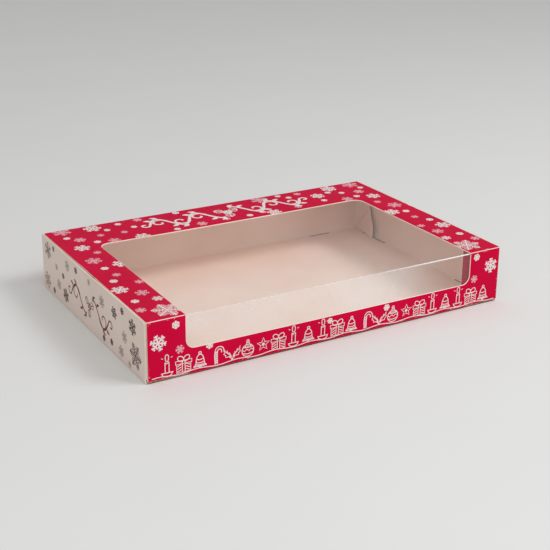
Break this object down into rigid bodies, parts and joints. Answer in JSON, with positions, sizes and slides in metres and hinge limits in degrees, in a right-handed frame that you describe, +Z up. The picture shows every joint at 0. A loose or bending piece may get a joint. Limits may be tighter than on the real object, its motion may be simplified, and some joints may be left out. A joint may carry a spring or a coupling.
{
  "type": "mince pie box",
  "caption": "Shallow folding carton for small pies, with a clear film window that wraps over its top and front, a hinged lid and a tuck-in front.",
  "frame": {"origin": "middle of the closed box's length and depth, on its underside", "axes": "+X along the length as seen from the front, the front faces -Y, +Z up"},
  "size_m": [0.23, 0.152, 0.0345],
  "materials": {
    "red_board": "satin print on folding boxboard",
    "cream_board": "satin print on folding boxboard",
    "inner_board": "uncoated, warm cream",
    "window_film": "clear glossy film"
  },
  "bodies": {
    "tray": {"base_panel": "inner_board", "back_wall": "red_board", "left_end_wall": "cream_board", "right_end_wall": "cream_board", "left_corner_flap": "inner_board", "right_corner_flap": "inner_board"},
    "lid": {"lid_panel": "red_board", "window_film_top": "window_film"},
    "front": {"front_panel": "red_board", "window_film_front": "window_film"},
    "tuck": {"tuck_flap": "red_board"},
    "left_flap": {"left_front_flap": "red_board"},
    "right_flap": {"right_front_flap": "red_board"}
  },
  "joints": [
    {"name": "lid_hinge", "type": "hinge", "parent": "tray", "child": "lid", "pos_m": [0, 0.076, 0.0345], "axis": [-1, 0, 0], "range_deg": [0, 180]},
    {"name": "front_panel_fold", "type": "hinge", "parent": "lid", "child": "front", "pos_m": [0, -0.076, 0.0345], "axis": [-1, 0, 0], "range_deg": [0, 90]},
    {"name": "tuck_flap_fold", "type": "hinge", "parent": "front", "child": "tuck", "pos_m": [0, -0.0752, 0.0016], "axis": [1, 0, 0], "range_deg": [0, 82]},
    {"name": "left_front_flap_swing", "type": "hinge", "parent": "tray", "child": "left_flap", "pos_m": [-0.1142, -0.0744, 0.0174], "axis": [0, 0, 1], "range_deg": [-20, 50]},
    {"name": "right_front_flap_swing", "type": "hinge", "parent": "tray", "child": "right_flap", "pos_m": [0.1142, -0.0744, 0.0174], "axis": [0, 0, -1], "range_deg": [-20, 50]}
  ],
  "couplings": [
    {"joint": "tuck_flap_fold", "follows": "front_panel_fold", "ratio": 0.9}
  ]
}
